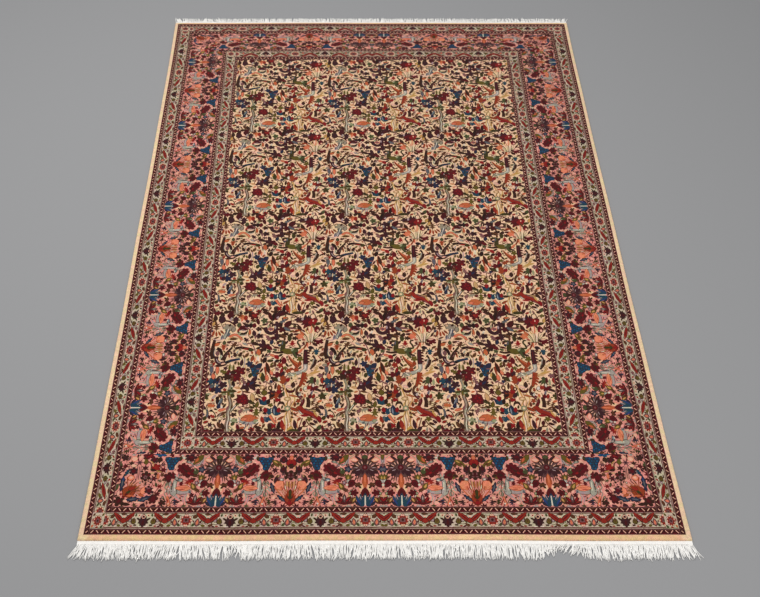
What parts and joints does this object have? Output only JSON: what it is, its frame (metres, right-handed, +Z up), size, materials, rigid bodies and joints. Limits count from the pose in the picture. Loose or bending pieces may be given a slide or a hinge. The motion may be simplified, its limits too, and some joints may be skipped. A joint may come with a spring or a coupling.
{
  "type": "persian rug",
  "caption": "Flat knotted wool rug with a field of flowers, birds and deer, banded borders and a white cotton fringe on a woven strip at each short end.",
  "frame": {"origin": "on the floor, in the middle of the whole outline with its fringes", "axes": "+Y along the rug, from the end nearest the viewer to the far end, +X across it, +Z up out of the pile"},
  "size_m": [2.0856, 3.0522, 0.0097],
  "materials": {
    "wool_pile": "short cut wool pile, many colours",
    "cotton_fringe": "flat-woven and twisted white cotton"
  },
  "bodies": {
    "root": {"rug_pile": "wool_pile", "fringe_near": "cotton_fringe", "fringe_far": "cotton_fringe"}
  },
  "joints": []
}
